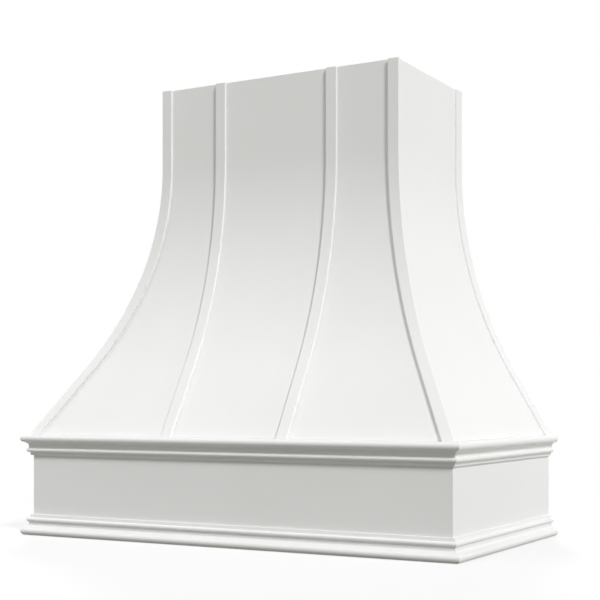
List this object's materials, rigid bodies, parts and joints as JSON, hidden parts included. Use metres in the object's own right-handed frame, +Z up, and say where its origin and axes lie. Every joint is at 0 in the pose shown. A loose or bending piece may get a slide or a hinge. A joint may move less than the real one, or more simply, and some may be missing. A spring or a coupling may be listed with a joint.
{
  "type": "range hood cover",
  "caption": "White painted wooden range hood cover: curved chimney body with straps, on a boxed apron with two mitred mouldings.",
  "frame": {"origin": "middle of the footprint, at the bottom edge of the apron; the wall plane is y = +0.258 m", "axes": "+X to the right along the width, +Y towards the wall, +Z up"},
  "size_m": [0.9524, 0.516, 0.9144],
  "materials": {
    "painted_wood": "satin white paint over primed hardwood and board",
    "frame_timber": "planed poplar, unfinished",
    "plywood": "birch plywood, unfinished",
    "screw_steel": "zinc plated"
  },
  "bodies": {
    "root": {"apron_front": "painted_wood", "apron_left": "painted_wood", "apron_right": "painted_wood", "top_moulding_front": "painted_wood", "top_moulding_left": "painted_wood", "top_moulding_right": "painted_wood", "bottom_moulding_front": "painted_wood", "bottom_moulding_left": "painted_wood", "bottom_moulding_right": "painted_wood", "front_panel": "painted_wood", "side_panel_left": "painted_wood", "side_panel_right": "painted_wood", "corner_strap_left": "painted_wood", "corner_strap_right": "painted_wood", "inner_strap_left": "painted_wood", "inner_strap_right": "painted_wood", "wall_strip_left": "painted_wood", "wall_strip_right": "painted_wood", "top_front_rail": "frame_timber", "top_side_rail_left": "frame_timber", "top_side_rail_right": "frame_timber", "top_wall_rail": "frame_timber", "middle_wall_rail": "frame_timber", "lower_wall_rail": "frame_timber", "front_sill": "frame_timber", "side_sill_left": "frame_timber", "side_sill_right": "frame_timber", "front_rib_left": "plywood", "front_rib_right": "plywood", "hip_rib_left": "plywood", "hip_rib_right": "plywood", "side_rib_left": "plywood", "side_rib_right": "plywood", "wall_stile_left": "plywood", "wall_stile_right": "plywood", "insert_deck": "plywood", "deck_cleat_front": "frame_timber", "deck_cleat_back": "frame_timber", "deck_cleat_left": "frame_timber", "deck_cleat_right": "frame_timber", "corner_block_left": "frame_timber", "corner_block_right": "frame_timber", "deck_screw_1": "screw_steel", "deck_screw_2": "screw_steel", "deck_screw_3": "screw_steel", "deck_screw_4": "screw_steel", "deck_screw_5": "screw_steel", "deck_screw_6": "screw_steel", "deck_screw_7": "screw_steel", "deck_screw_8": "screw_steel"}
  },
  "joints": []
}
